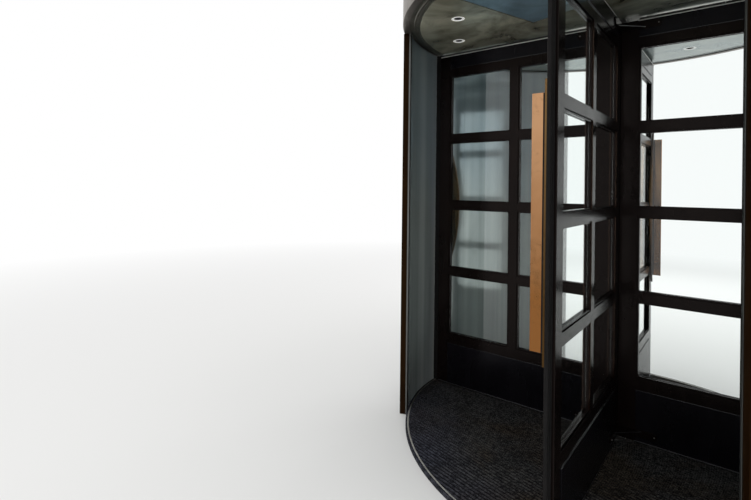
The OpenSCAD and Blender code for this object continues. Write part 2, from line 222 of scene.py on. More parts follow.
def ribbedMat(name, pitch, ribWidth, degrees):  # worn fibres on the ribs, dark grooves between them
    f = Finish(name)
    a = math.radians(degrees)
    share = ribWidth / pitch
    across = (f.axis(1) * math.cos(a) - f.axis(0) * math.sin(a)) / pitch
    off = across.calc("PINGPONG", across + 0.5, 0.5)  # 0.5 along a rib's middle
    crown = f.mask(off, 0.5 - share / 2, 0.5 - share / 4)
    speck = f.noise(130, 3)
    tuft = f.noise(62, 3, f.stretched(1, 0.5, 1))
    worn = f.noise(3.4, 6, warp=0.9)
    fibre = f.mask(speck * 0.6 + tuft * 0.25 + worn * 0.15, 0.44, 0.57)
    tone = f.mix(fibre, (0.006, 0.006, 0.007), (0.064, 0.063, 0.062))
    trodden = f.mask(f.noise(2.1, 5, warp=0.8), 0.42, 0.58)
    tone = f.mix(trodden * 0.8, tone, f.mix(fibre, (0.009, 0.006, 0.004), (0.054, 0.041, 0.028)))
    lobby = f.mask(f.noise(2.6, 4, warp=0.8) * 0.5 - f.axis(1) * 0.8 - f.axis(0) * 0.5, 0.92, 1.30)
    tone = f.mix(lobby * 0.7, tone, f.mix(fibre, (0.009, 0.010, 0.018), (0.054, 0.059, 0.088)))
    grit = f.mask(f.noise(300, 2), 0.64, 0.74)
    tone = f.mix(grit * 0.35, tone, (0.20, 0.19, 0.18))
    tone = f.mix(crown * 0.62 + 0.38, (0.005, 0.005, 0.006), tone)
    normal = f.bump(speck * 0.5 + tuft * 0.5, 0.0016, 0.8)
    return f.close(colour=tone, roughness=0.95, normal=normal, specular=0.15)


def bristle(name, dark, light):  # fine hairs in clumps
    f = Finish(name)
    hair = f.noise(700, 2, f.stretched(1, 1, 0.05))
    clump = f.noise(60, 3, f.stretched(1, 1, 0.2))
    tone = f.mix(f.mask(hair * 0.6 + clump * 0.4, 0.36, 0.66), dark, light)
    return f.close(colour=tone, roughness=0.85, normal=f.bump(hair, 0.0012, 0.8), specular=0.2)


def paintedRing(name, tone, glow=0.0):  # smooth paint with a little dust
    f = Finish(name)
    dust = f.noise(30, 5)
    colour = f.mix(f.mask(dust, 0.4, 0.75) * 0.35, tone, tuple(c * 0.82 for c in tone))
    # a glow, when set, is painted light
    return f.close(colour=colour, roughness=f.mask(dust, 0.3, 0.7) * 0.15 + 0.3,
                   normal=f.bump(f.noise(500, 2), 0.0002, 0.1), glow=colour, glowPower=glow)


def clearGlass(name):  # lamps and bounced light go straight through
    f = Finish(name)
    film = f.noise(7, 6, f.stretched(1, 1, 0.5), warp=1.0)
    pane = f.principled(colour=(0.93, 0.97, 0.96), roughness=f.mask(film, 0.55, 0.85) * 0.035,
                        transmission=1.0, ior=1.45)
    clear = f.node("ShaderNodeBsdfTransparent", values={"Color": (0.92, 0.96, 0.95, 1)})
    return f.show(f.blend(f.path("Shadow", "Diffuse"), pane, clear))


finishes = {
    "leaf": agedBronze("darkLeafBronze", (0.0022, 0.0014, 0.0013), (0.0066, 0.0042, 0.0038),
                       (0.016, 0.010, 0.008), gloss=0.15, shine=0.115, sheen=(1.0, 0.86, 0.82), wear=0.25),
    "plate": agedBronze("kickPlateBronze", (0.0024, 0.0021, 0.0028), (0.0062, 0.0056, 0.0074),
                        (0.013, 0.011, 0.012), gloss=0.17, shine=0.13, sheen=(0.90, 0.90, 1.0), wear=0.15),
    "post": agedBronze("postBronze", (0.006, 0.0022, 0.0006), (0.015, 0.0062, 0.0018),
                       (0.036, 0.018, 0.005), gloss=0.28, shine=0.05, sheen=(1.0, 0.75, 0.50)),
    "bead": agedBronze("beadBronze", (0.006, 0.002, 0.001), (0.016, 0.005, 0.0025),
                       (0.03, 0.012, 0.006), gloss=0.05, shine=0.75, sheen=(1.0, 0.66, 0.50), wear=0.2),
    "edge": agedBronze("wornEdgeBronze", (0.012, 0.012, 0.013), (0.026, 0.026, 0.028),
                       (0.06, 0.055, 0.05), gloss=0.06, shine=1.0, sheen=(0.92, 0.96, 1.0)),
    # light grey on the head brackets' sawn faces: a painted highlight
    "sawnHighlight": satinSheet("sawnEdgeHighlight", (0.30, 0.31, 0.32), (0.52, 0.53, 0.54),
                       gloss=0.24, blotch=0.2, metal=0.5),
    # the third colour of each wall is a painted sky reflection
    "wall": wallSheet("satinWallMetal", (0.38, 0.42, 0.42), (0.70, 0.74, 0.72), (0.38, 0.50, 0.60),
                      gloss=0.07, metal=0.40),
    "wallBack": wallSheet("outerWallMetal", (0.20, 0.21, 0.215), (0.36, 0.375, 0.38), (0.23, 0.27, 0.30),
                          gloss=0.24, metal=0.75),
    # the fourth colour of soffit, rim and hatch is painted daylight from the street
    "soffit": patinaSheet("patinaSoffitMetal", (0.11, 0.103, 0.066), (0.62, 0.60, 0.46),
                          (0.060, 0.050, 0.028), (0.27, 0.38, 0.42), gloss=0.18, metal=0.45),
    "rim": patinaSheet("darkRimMetal", (0.05, 0.045, 0.034), (0.20, 0.19, 0.155),
                       (0.026, 0.022, 0.013), (0.10, 0.14, 0.15), gloss=0.28, metal=0.7),
    "hatch": patinaSheet("blueHatchMetal", (0.13, 0.21, 0.26), (0.30, 0.44, 0.54),
                         (0.10, 0.15, 0.18), (0.22, 0.34, 0.42), gloss=0.28, metal=0.6),
    "canopy": satinSheet("canopyMetal", (0.14, 0.125, 0.11), (0.26, 0.235, 0.21), gloss=0.34, blotch=0.4),
    "cover": satinSheet("dustCoverMetal", (0.20, 0.20, 0.195), (0.36, 0.36, 0.35), gloss=0.5, blotch=0.6),
    "trim": satinSheet("lightTrimMetal", (0.09, 0.095, 0.092), (0.17, 0.175, 0.168),
                       gloss=0.26, blotch=0.25),
    # the foot clips are made dark, painted shade; the head clips are pale metal brightened as a painted
    # highlight
    "shadedClips": satinSheet("shadedClipMetal", (0.045, 0.045, 0.050), (0.095, 0.095, 0.10),
                          gloss=0.30, blotch=0.3),
    "litClips": satinSheet("litClipMetal", (0.62, 0.61, 0.58), (0.80, 0.79, 0.76),
                         gloss=0.34, blotch=0.2, metal=0.35),
    # the third colour is painted shade for the ring's stretch behind the walls
    "ring": ringSheet("floorRingMetal", (0.44, 0.43, 0.40), (0.62, 0.61, 0.57), (0.06, 0.055, 0.045),
                      gloss=0.28, wallsFrom=0.80),
    "steel": satinSheet("bearingSteel", (0.16, 0.155, 0.15), (0.30, 0.29, 0.28), gloss=0.35, blotch=0.5),
    "screw": satinSheet("screwSteel", (0.16, 0.16, 0.155), (0.26, 0.26, 0.25), gloss=0.26, blotch=0.3),
    "copper": copperPolish("polishedCopper", (0.25, 0.105, 0.032), (0.52, 0.29, 0.15),
                           (0.15, 0.075, 0.028), gloss=0.16),
    "crescent": copperPolish("brownedCrescent", (0.07, 0.038, 0.013), (0.17, 0.10, 0.040),
                             (0.035, 0.021, 0.008), gloss=0.24),
    "pile": bristle("blackPile", (0.003, 0.003, 0.003), (0.010, 0.009, 0.009)),
    "sweep": bristle("greyBristle", (0.018, 0.018, 0.018), (0.10, 0.097, 0.093)),
    "rubber": bristle("gasketRubber", (0.006, 0.006, 0.007), (0.014, 0.014, 0.016)),
    # the lamp rings glow a little: painted light, as the rings are trims, not lamps
    "lamp": paintedRing("whiteLampRing", (0.92, 0.91, 0.88), glow=0.35),
    "well": paintedRing("darkLampWell", (0.05, 0.05, 0.052)),
    "glass": clearGlass("clearGlass"),
}
print("finishes:", len(finishes))


# Tools for the pieces

def turned(degrees):  # about the door's axis
    return Matrix.Rotation(math.radians(degrees), 4, "Z")


def intoMesh(bm, name):  # ends bm
    mesh = bpy.data.meshes.new(name)
    bm.to_mesh(mesh)
    bm.free()
    return mesh


def addPiece(bm, name, finish, body, hides=(), smooth=32, second=None):
    mesh = intoMesh(bm, name)
    mesh.shade_smooth()
    mesh.set_sharp_from_angle(angle=math.radians(smooth))
    mesh.materials.append(finishes[finish])
    if second:
        mesh.materials.append(finishes[second])
    piece = bpy.data.objects.new(name, mesh)
    bpy.context.scene.collection.objects.link(piece)
    even = piece.modifiers.new("evenShade", "WEIGHTED_NORMAL")  # keeps big faces flat beside eased edges
    even.keep_sharp = True
    even.weight = 100
    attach(piece, body)
    if hides:
        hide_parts(*hides)


def repaint(node, finish):  # a CAD node that is shown as it is
    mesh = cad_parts[node].data
    mesh.materials.clear()
    mesh.materials.append(finishes[finish])


def paintFaces(bm, test):  # faces that pass the test get the piece's second finish
    for face in bm.faces:
        if test(face):
            face.material_index = 1


def ease(bm, width, segments=2, sharper=28):  # eases the sharp edges of everything in bm
    sharp = [e for e in bm.edges if len(e.link_faces) == 2
             and e.calc_face_angle(0) > math.radians(sharper)]
    bmesh.ops.bevel(bm, geom=sharp, offset=width, offset_type="OFFSET", affect="EDGES",
                    segments=segments, profile=0.5, material=-1, clamp_overlap=True)


def cadCopy(node, width, segments=2):  # a merged copy of a CAD node with eased edges
    bm = bmesh.new()
    bm.from_mesh(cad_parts[node].data)
    bmesh.ops.remove_doubles(bm, verts=bm.verts, dist=2e-5)
    bmesh.ops.dissolve_limit(bm, angle_limit=math.radians(0.6), verts=bm.verts, edges=bm.edges)
    ease(bm, width, segments)
    return bm


def block(bm, low, high):  # a box between two corners, for easing or cutting further
    made = bmesh.ops.create_cube(bm, size=1)["verts"]
    low, high = Vector(low), Vector(high)
    bmesh.ops.scale(bm, vec=high - low, verts=made)
    bmesh.ops.translate(bm, vec=(low + high) / 2, verts=made)
    return made


def band(inner, outer, low, high):  # the outline of a plain ring or sheet, for revolve
    return [(inner, low), (outer, low), (outer, high), (inner, high)]


def revolve(bm, outline, fromDeg=0.0, toDeg=360.0, steps=240):  # spins a closed (r, z) outline about Z
    points = [bm.verts.new((r, 0, z)) for r, z in outline]
    bmesh.ops.transform(bm, matrix=turned(fromDeg), verts=points)
    edges = [bm.edges.new(pair) for pair in zip(points, points[1:] + points[:1])]
    whole = toDeg - fromDeg > 359.9
    spun = bmesh.ops.spin(bm, geom=points + edges, cent=(0, 0, 0), axis=(0, 0, 1), dvec=(0, 0, 0),
                          angle=math.radians(toDeg - fromDeg), steps=steps, use_merge=whole)
    if not whole:
        last = [g for g in spun["geom_last"] if isinstance(g, bmesh.types.BMEdge)]
        bmesh.ops.contextual_create(bm, geom=edges)
        bmesh.ops.contextual_create(bm, geom=last)
    bmesh.ops.recalc_face_normals(bm, faces=bm.faces)


def stamp(bm, mesh, matrix):  # adds a copy of a small mesh
    copy = mesh.copy()
    copy.transform(matrix)
    bm.from_mesh(copy)
    bpy.data.meshes.remove(copy)


def facing(point, normal):  # puts a stamp's +Z along a normal, at a point
    return Matrix.Translation(Vector(point)) @ Vector(normal).to_track_quat("Z", "Y").to_matrix().to_4x4()


# A flat frame in the XZ plane, from y0 to y1, with its inner edge eased at y1
def mitredRing(bm, x0, x1, z0, z1, wide, y0, y1, soften, segments):
    corners = [bm.verts.new((x, y0, z)) for x, z in ((x0, z0), (x1, z0), (x1, z1), (x0, z1))]
    face = bm.faces.new(corners)
    ring = bmesh.ops.inset_region(bm, faces=[face], thickness=wide, use_boundary=True,
                                  use_even_offset=True)["faces"]
    bmesh.ops.delete(bm, geom=[face], context="FACES_ONLY")
    made = bmesh.ops.extrude_face_region(bm, geom=ring, use_keep_orig=True)["geom"]
    lifted = [g for g in made if isinstance(g, bmesh.types.BMVert)]
    bmesh.ops.translate(bm, vec=(0, y1 - y0, 0), verts=lifted)
    inner = [e for e in {e for v in lifted for e in v.link_edges}
             if all(abs(v.co.y - y1) < 1e-6 and x0 + wide / 2 < v.co.x < x1 - wide / 2
                    and z0 + wide / 2 < v.co.z < z1 - wide / 2 for v in e.verts)]
    bmesh.ops.bevel(bm, geom=inner, offset=soften, offset_type="OFFSET", affect="EDGES", segments=segments,
                    profile=0.5, material=-1)


screw = {"radius": 0.0048, "crown": 0.003936, "height": 0.0011, "socket": 0.0021, "deep": 0.00088,
         "sides": 18}


def makeScrew():  # a low head with a round socket, standing on z = 0
    bm = bmesh.new()
    bmesh.ops.create_cone(bm, cap_ends=True, cap_tris=False, segments=screw["sides"], depth=screw["height"],
                          radius1=screw["radius"], radius2=screw["crown"])
    bmesh.ops.translate(bm, vec=(0, 0, screw["height"] / 2), verts=bm.verts)
    top = max(bm.faces, key=lambda f: f.calc_center_median().z)
    bmesh.ops.inset_region(bm, faces=[top], thickness=screw["crown"] - screw["socket"],
                           use_even_offset=True)
    bmesh.ops.translate(bm, vec=(0, 0, -screw["deep"]), verts=top.verts)
    return intoMesh(bm, "screwStamp")


screwMesh = makeScrew()


# Floor

floor = {"top": 0.020, "ringIn": 1.1000, "ringOut": 1.1080, "ringSteps": 300, "ringSoft": 0.0009,
         "matIn": 0.0583, "matOut": 1.0997, "borderIn": 1.1083, "borderOut": 1.1177,
         "ribPitch": 0.020, "ribWidth": 0.0130, "ribDepth": 0.0055, "ribDegrees": 3.3,
         "pivotTop": 0.027, "pivotSoft": 0.0022, "screws": 4, "screwRing": 0.046, "screwSink": 0.0005,
         "screwSize": 0.8}
finishes["mat"] = ribbedMat("ribbedMatting", floor["ribPitch"], floor["ribWidth"], floor["ribDegrees"])

bm = bmesh.new()
revolve(bm, band(floor["ringIn"], floor["ringOut"], 0, floor["top"]), steps=floor["ringSteps"])
ease(bm, floor["ringSoft"])
addPiece(bm, "floorRing", "ring", "drum", ["floor_ring"])

bm = bmesh.new()
groove = floor["top"] - floor["ribDepth"]
revolve(bm, band(floor["matIn"], floor["matOut"], 0, groove))
count = int(floor["matOut"] / floor["ribPitch"])
lines = [k * floor["ribPitch"] for k in range(-count, count + 1)]
for y in lines:
    for cut in (y - floor["ribWidth"] / 2, y + floor["ribWidth"] / 2):
        bmesh.ops.bisect_plane(bm, geom=bm.verts[:] + bm.edges[:] + bm.faces[:], plane_co=(0, cut, 0),
                               plane_no=(0, 1, 0))
ribs = [f for f in bm.faces if f.normal.z > 0.9 and f.calc_center_median().z > groove - 1e-5
        and min(abs(f.calc_center_median().y - y) for y in lines) < floor["ribWidth"] / 2]
raised = bmesh.ops.extrude_face_region(bm, geom=ribs)["geom"]
bmesh.ops.delete(bm, geom=ribs, context="FACES")
raised = [g for g in raised if isinstance(g, bmesh.types.BMVert)]
bmesh.ops.translate(bm, vec=(0, 0, floor["ribDepth"]), verts=raised)
bmesh.ops.transform(bm, matrix=turned(floor["ribDegrees"]), verts=bm.verts)
revolve(bm, band(floor["borderIn"], floor["borderOut"], 0, floor["top"]))
addPiece(bm, "matRibs", "mat", "drum", ["entrance_mat"])

bm = cadCopy("floor_pivot", floor["pivotSoft"], 4)
for k in range(floor["screws"]):
    at = turned(45 + 90 * k) @ Vector((floor["screwRing"], 0, floor["pivotTop"] - floor["screwSink"]))
    stamp(bm, screwMesh, Matrix.Translation(at) @ Matrix.Scale(floor["screwSize"], 4))
addPiece(bm, "pivotCover", "steel", "drum", ["floor_pivot"])
print("floor: mat with", len(lines), "ribs")


# Curved walls

wall = {"inside": 1.118, "outside": 1.156, "post": 1.160, "top": 2.252, "half": 44.3, "postDeg": 2.665,
        "gapDeg": 0.0154, "stepDeg": 0.4, "trimWide": 0.009, "trimDeg": 0.154,
        "sheetSoft": 0.0008, "postSoft": 0.0018, "trimSoft": 0.0006}


def isOutside(face):  # faces away from the axis
    centre = face.calc_center_median()
    return face.normal.x * centre.x + face.normal.y * centre.y > 0.9


def arcPiece(name, finish, node, outline, fromDeg, toDeg, soften, second=None):
    bm = bmesh.new()
    revolve(bm, outline, fromDeg, toDeg, max(2, int(abs(toDeg - fromDeg) / wall["stepDeg"])))
    ease(bm, soften)
    if second:
        paintFaces(bm, isOutside)
    addPiece(bm, name, finish, "drum", [node], second=second)


edge = wall["half"] - wall["postDeg"]
gap = wall["gapDeg"]
sheetOutline = band(wall["inside"], wall["outside"], 0, wall["top"])
for name, node, start, end in (
        ("leftLobbySheet", "left_lobby_panel", 180 + gap, 180 + edge - gap),
        ("leftStreetSheet", "left_street_panel", 180 - edge + gap, 180),
        ("rightLobbySheet", "right_lobby_panel", gap - edge, 0),
        ("rightStreetSheet", "right_street_panel", gap, edge - gap)):
    arcPiece(name, "wall", node, sheetOutline, start, end, wall["sheetSoft"], "wallBack")

postOutline = band(wall["inside"], wall["post"], 0, wall["top"])
for name, node, start in (
        ("leftLobbyJamb", "left_lobby_post", 180 + edge),
        ("leftStreetJamb", "left_street_post", 180 - wall["half"]),
        ("rightLobbyJamb", "right_lobby_post", -wall["half"]),
        ("rightStreetJamb", "right_street_post", edge)):
    arcPiece(name, "post", node, postOutline, start, start + wall["postDeg"], wall["postSoft"])

bm = bmesh.new()
trimOutline = band(wall["inside"], wall["inside"] + wall["trimWide"], 0, wall["top"])
for side in (0, 180):
    for low, high in ((wall["half"] + gap, wall["half"] + gap + wall["trimDeg"]),
                      (-wall["half"] - gap - wall["trimDeg"], -wall["half"] - gap)):
        revolve(bm, trimOutline, side + low, side + high, 1)
ease(bm, wall["trimSoft"])
addPiece(bm, "jambStrips", "trim", "drum", ["jamb_trims"])
print("walls")


# Canopy

canopy = {"soffit": 2.252, "fasciaTop": 2.494, "fasciaSoft": 0.0014}
rim = {"pan": 1.060, "air": 0.001, "sheet": 0.012, "bandIn": 1.094, "chamfer": 0.0012, "recess": 0.006,
       "wall": 1.1177, "top": 0.030, "lap": 1.040, "grooveDeep": 0.0014, "smooth": 20,
       "grooves": ((1.0665, 1.0672, 1.0690, 1.0698), (1.0795, 1.0803, 1.0822, 1.0830))}
hatch = {"half": 0.272, "near": 0.353, "far": 0.907, "soft": 0.0012, "screwX": (-0.25, 0, 0.25),
         "screwIn": 0.02, "screwSink": 0.0004, "joint": 0.010, "jointTop": 0.001, "jointStands": 0.0008,
         "jointSoft": 0.0004}
downlight = {"fromAxis": 0.865, "degrees": (0, 31, 57, 90, 123, 149, 180, 211, 237, 303, 329), "steps": 56,
             "ring": ((0.0215, 0.0016), (0.0240, 0.0002), (0.0335, 0.0002), (0.0356, 0.0018),
                      (0.0356, 0.012), (0.0215, 0.012)),
             "well": ((0.0214, 0.0020), (0.0214, 0.034), (0.0005, 0.034), (0.0005, 0.030),
                      (0.014, 0.030), (0.017, 0.0020))}
dustCover = {"outline": ((0.001, 2.494), (1.155, 2.494), (1.1557, 2.495), (1.1557, 2.4978),
                         (1.154, 2.4994), (1.152, 2.500), (0.001, 2.500)),
             "screws": 24, "screwRing": 1.134, "screwFoot": 2.4997}

repaint("soffit_pan", "soffit")
repaint("head_bearing", "steel")
z = canopy["soffit"]
outline = [(rim["pan"] + rim["air"], z)]
for a, b, c, d in rim["grooves"]:
    outline += [(a, z), (b, z + rim["grooveDeep"]), (c, z + rim["grooveDeep"]), (d, z)]
outline += [(rim["bandIn"] - rim["chamfer"], z), (rim["bandIn"], z + rim["chamfer"]),
            (rim["bandIn"], z + rim["recess"]), (rim["wall"], z + rim["recess"]),
            (rim["wall"], z + rim["top"]), (rim["lap"], z + rim["top"]),
            (rim["lap"], z + rim["sheet"]), (rim["pan"] + rim["air"], z + rim["sheet"])]
bm = bmesh.new()
revolve(bm, outline)
addPiece(bm, "soffitRim", "rim", "drum", ["soffit_rim"], smooth=rim["smooth"])

bm = cadCopy("soffit_hatch", hatch["soft"])
for x in hatch["screwX"]:
    for y in (-hatch["near"] - hatch["screwIn"], -hatch["far"] + hatch["screwIn"]):
        stamp(bm, screwMesh, facing((x, y, z + hatch["screwSink"]), (0, 0, -1)))
addPiece(bm, "hatchDoor", "hatch", "drum", ["soffit_hatch"])

bm = bmesh.new()
half = hatch["joint"] / 2
mitredRing(bm, -hatch["half"] - half, hatch["half"] + half, hatch["near"] - half, hatch["far"] + half,
           hatch["joint"], z + hatch["jointTop"], z - hatch["jointStands"], hatch["jointSoft"], 1)
bmesh.ops.transform(bm, matrix=Matrix.Rotation(math.radians(90), 4, "X"), verts=bm.verts)
bmesh.ops.recalc_face_normals(bm, faces=bm.faces)
addPiece(bm, "hatchJoint", "rubber", "drum")

for name, part, finish, hides in (("lampRings", "ring", "lamp", ["downlights"]),
                                  ("lampWells", "well", "well", [])):
    one = bmesh.new()
    revolve(one, [(r, z + above) for r, above in downlight[part]], steps=downlight["steps"])
    oneMesh = intoMesh(one, name + "Stamp")
    bm = bmesh.new()
    for degrees in downlight["degrees"]:
        stamp(bm, oneMesh, turned(degrees) @ Matrix.Translation((downlight["fromAxis"], 0, 0)))
    addPiece(bm, name, finish, "drum", hides)

fasciaOutline = band(wall["inside"], wall["outside"], z, canopy["fasciaTop"])
for name, node, start in (("lobbyFascia", "lobby_fascia", 180), ("streetFascia", "street_fascia", 0)):
    arcPiece(name, "canopy", node, fasciaOutline, start, start + 180, canopy["fasciaSoft"])

bm = bmesh.new()
revolve(bm, dustCover["outline"])
for k in range(dustCover["screws"]):
    at = turned(360 / dustCover["screws"] * k) @ Vector((dustCover["screwRing"], 0, dustCover["screwFoot"]))
    stamp(bm, screwMesh, Matrix.Translation(at))
addPiece(bm, "dustCover", "cover", "drum", ["canopy_top"])
print("canopy:", len(downlight["degrees"]), "downlights")


# Wings

leaf = {"degrees": (16.9, 106.9, 196.9, 286.9), "half": 0.020, "foot": 0.033, "soft": 0.0007}
pane = {"spans": ((0.104, 0.534), (0.584, 1.000)), "foot": 0.362, "high": 0.3965, "bar": 0.048, "rows": 4,
        "glassHalf": 0.004, "soft": 0.0004}
bead = {"wide": 0.009, "air": 0.0003, "foot": 0.0058, "top": 0.0192, "soft": 0.0034, "segments": 4}
gasket = {"wide": 0.003, "inset": 0.0084, "sink": 0.0001, "stands": 0.0016, "soft": 0.0006, "segments": 2}
plates = {"low": 0.104, "high": 1.000, "kickTop": 0.300, "headFoot": 2.142, "face": 0.024, "soft": 0.0009,
          "screwIn": 0.018, "headScrewIn": 0.016, "screwSink": 0.0002, "edge": 0.0010, "edgeLap": 0.0004,
          "edgeShort": 0.0006, "edgeSoft": 0.0004, "edgeAir": 0.0002, "edgeUnder": 0.0001}
# the shade keys size the dark strips that paint shade beside the blade's neck
handle = {"edge": 1.074, "blade": 0.0055, "neck": 0.0018, "neckDeep": 0.006, "low": 0.739, "high": 1.699,
          "plateFace": 0.028, "plateLap": 0.0004, "soft": 0.0011, "segments": 3, "shadeWide": 0.0007,
          "shadeAir": 0.0004, "shadeSink": 0.0003, "shadeShort": 0.001, "shadeSoft": 0.0002}
wiper = {"low": 1.078, "lap": 0.006, "base": 1.0893, "baseHalf": 0.0097, "high": 1.1165, "half": 0.006,
         "foot": 0.025, "head": 2.247, "cuts": 260, "crossCuts": 4, "worn": 0.0002, "ragged": 0.0016,
         "rounded": 40, "stray": 0.0004}


def paneOpenings():  # x and z spans of a wing's eight openings
    for x0, x1 in pane["spans"]:
        for row in range(pane["rows"]):
            z0 = pane["foot"] + row * (pane["high"] + pane["bar"])
            yield x0, x1, z0, z0 + pane["high"]


def wingPiece(bm, name, finish, degrees):  # built along +X, then turned to its wing
    bmesh.ops.recalc_face_normals(bm, faces=bm.faces)
    bmesh.ops.transform(bm, matrix=turned(degrees), verts=bm.verts)
    addPiece(bm, name, finish, "rotor")


for k, degrees in enumerate(leaf["degrees"], 1):
    addPiece(cadCopy(f"wing_{k}_frame", leaf["soft"]), f"leafFrame{k}", "leaf", "rotor", [f"wing_{k}_frame"])
    addPiece(cadCopy(f"wing_{k}_glass", pane["soft"], 1), f"leafPanes{k}", "glass", "rotor",
             [f"wing_{k}_glass"])

    beads, gaskets = bmesh.new(), bmesh.new()
    for x0, x1, z0, z1 in paneOpenings():
        for side in (-1, 1):
            mitredRing(beads, x0 + bead["air"], x1 - bead["air"], z0 + bead["air"], z1 - bead["air"],
                       bead["wide"], side * bead["foot"], side * bead["top"], bead["soft"],
                       bead["segments"])
            inset = gasket["inset"]
            mitredRing(gaskets, x0 + inset, x1 - inset, z0 + inset, z1 - inset, gasket["wide"],
                       side * (pane["glassHalf"] + gasket["sink"]),
                       side * (pane["glassHalf"] + gasket["stands"]), gasket["soft"], gasket["segments"])
    wingPiece(beads, f"leafBeads{k}", "bead", degrees)
    wingPiece(gaskets, f"leafGaskets{k}", "rubber", degrees)

    addPiece(cadCopy(f"wing_{k}_plates", plates["soft"]), f"leafPlates{k}", "plate", "rotor",
             [f"wing_{k}_plates"])
    screws, edges = bmesh.new(), bmesh.new()
    kickRows = (leaf["foot"] + plates["screwIn"], plates["kickTop"] - plates["screwIn"])
    for side in (-1, 1):
        spots = [(x, z0) for x in (plates["low"] + plates["screwIn"], plates["high"] - plates["screwIn"])
                 for z0 in (*kickRows, plates["headFoot"] + plates["headScrewIn"])]
        spots += [((plates["low"] + plates["high"]) / 2, z0) for z0 in kickRows]
        for x, z0 in spots:
            at = (x, side * (plates["face"] - plates["screwSink"]), z0)
            stamp(screws, screwMesh, facing(at, (0, side, 0)))
        flank = sorted((side * (leaf["half"] + plates["edgeAir"]),
                        side * (plates["face"] - plates["edgeUnder"])))
        for z0, z1 in ((plates["kickTop"] - plates["edgeLap"], plates["kickTop"] + plates["edge"]),
                       (plates["headFoot"] - plates["edge"], plates["headFoot"] + plates["edgeLap"])):
            block(edges, (plates["low"] + plates["edgeShort"], flank[0], z0),
                  (plates["high"] - plates["edgeShort"], flank[1], z1))
    wingPiece(screws, f"plateScrews{k}", "plate", degrees)
    ease(edges, plates["edgeSoft"])
    wingPiece(edges, f"plateEdges{k}", "edge", degrees)

    bm = cadCopy(f"wing_{k}_handle", handle["soft"], handle["segments"])
    unturned = turned(-degrees)
    plateFrom = -handle["plateFace"] - handle["plateLap"]
    paintFaces(bm, lambda face: (unturned @ face.calc_center_median()).y > plateFrom)
    addPiece(bm, f"pullHandle{k}", "copper", "rotor", [f"wing_{k}_handle"], second="crescent")
    neckShade = bmesh.new()  # dark strips on both sides of the blade's neck: painted shade in its groove
    mid = handle["edge"] - handle["blade"]
    for side in (-1, 1):
        flank = sorted((mid + side * handle["neck"], mid + side * (handle["neck"] + handle["shadeWide"])))
        block(neckShade, (flank[0], -handle["plateFace"] - handle["neckDeep"] + handle["shadeAir"],
                      handle["low"] + handle["shadeShort"]),
              (flank[1], -handle["plateFace"] - handle["shadeSink"], handle["high"] - handle["shadeShort"]))
    ease(neckShade, handle["shadeSoft"], 1)
    wingPiece(neckShade, f"handleNeckShade{k}", "rubber", degrees)

piles = bmesh.new()  # the pile's free edge is a little ragged
freeFrom = wiper["high"] - 0.001  # only the free edge's corners lie past it
for degrees in leaf["degrees"]:
    bm = bmesh.new()
    block(bm, (wiper["base"], -wiper["half"], wiper["foot"]), (wiper["high"], wiper["half"], wiper["head"]))
    tall = [e for e in bm.edges if abs(e.verts[0].co.z - e.verts[1].co.z) > 0.1]
    bmesh.ops.subdivide_edges(bm, edges=tall, cuts=wiper["cuts"], use_grid_fill=True)
    across = [e for e in bm.edges if abs(e.verts[0].co.y - e.verts[1].co.y) > 0.01
              and min(v.co.x for v in e.verts) > freeFrom]
    bmesh.ops.subdivide_edges(bm, edges=across, cuts=wiper["crossCuts"], use_grid_fill=True)
    for v in bm.verts:
        if v.co.x > freeFrom:
            v.co.x -= wiper["worn"] + wiper["ragged"] * dice.random() + wiper["rounded"] * v.co.y ** 2
            v.co.y += dice.uniform(-wiper["stray"], wiper["stray"])
    block(bm, (wiper["low"] - wiper["lap"], -wiper["baseHalf"], wiper["foot"]),
          (wiper["base"], wiper["baseHalf"], wiper["head"]))
    stamp(piles, intoMesh(bm, "pileStamp"), turned(degrees))
bmesh.ops.recalc_face_normals(piles, faces=piles.faces)
addPiece(piles, "edgePiles", "pile", "rotor", ["edge_wipers"])
print("wings:", len(leaf["degrees"]))


# Brushes under and over the wings

sweep = {"low": 0.100, "high": 1.070, "foot": 0.025, "footTop": 0.033, "head": 2.247, "headFoot": 2.230,
         "pitch": 0.0042, "scatter": 0.3, "row": 0.0032, "splay": 0.007, "headSplay": 0.002, "lean": 0.002,
         "splays": (0.6, 1.0), "lengths": (0.93, 0.995), "thin": 0.00136, "thick": 0.00221, "sides": 5,
         "clipIn": 0.0198, "clipOut": 0.0250, "clipLap": 0.0004, "clipHigh": 0.0052, "clipSoft": 0.0018}
bm = bmesh.new()
bmesh.ops.create_cone(bm, cap_ends=True, cap_tris=False, segments=sweep["sides"], radius1=sweep["thin"],
                      radius2=sweep["thick"], depth=1)
bmesh.ops.translate(bm, vec=(0, 0, 0.5), verts=bm.verts)
tuftMesh = intoMesh(bm, "tuftStamp")
clips = {"foot": bmesh.new(), "head": bmesh.new()}
tufts = {"foot": bmesh.new(), "head": bmesh.new()}
steps = int((sweep["high"] - sweep["low"]) / sweep["pitch"])
